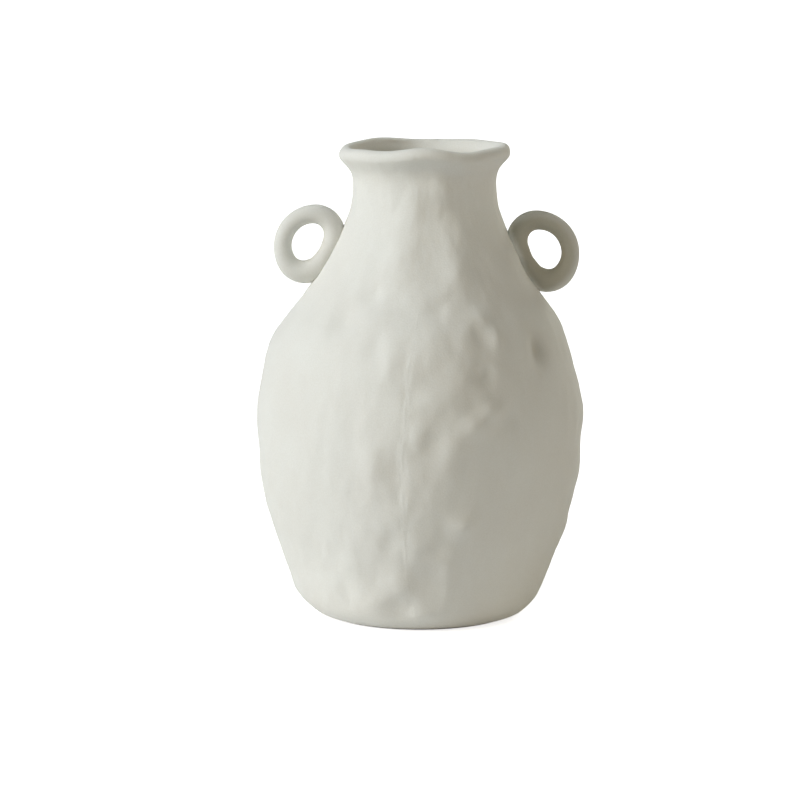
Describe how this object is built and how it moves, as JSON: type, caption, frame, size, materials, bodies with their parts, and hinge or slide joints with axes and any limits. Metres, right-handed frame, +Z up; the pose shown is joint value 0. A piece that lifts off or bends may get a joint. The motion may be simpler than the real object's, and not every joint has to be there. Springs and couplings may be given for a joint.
{
  "type": "ceramic vase",
  "caption": "Hand-pinched unglazed ceramic vase with a round belly, short neck, flared wavy lip and small ring handles; stands free and holds stems or dried flowers.",
  "frame": {"origin": "centre of the foot, on the plane that the vase stands on", "axes": "+Z up along the vase's axis, +X towards the ring handle that the picture shows on the right, -Y towards the viewer"},
  "size_m": [0.1316, 0.1321, 0.1912],
  "materials": {
    "bisque": "matte"
  },
  "bodies": {
    "root": {"vase": "bisque"}
  },
  "joints": []
}
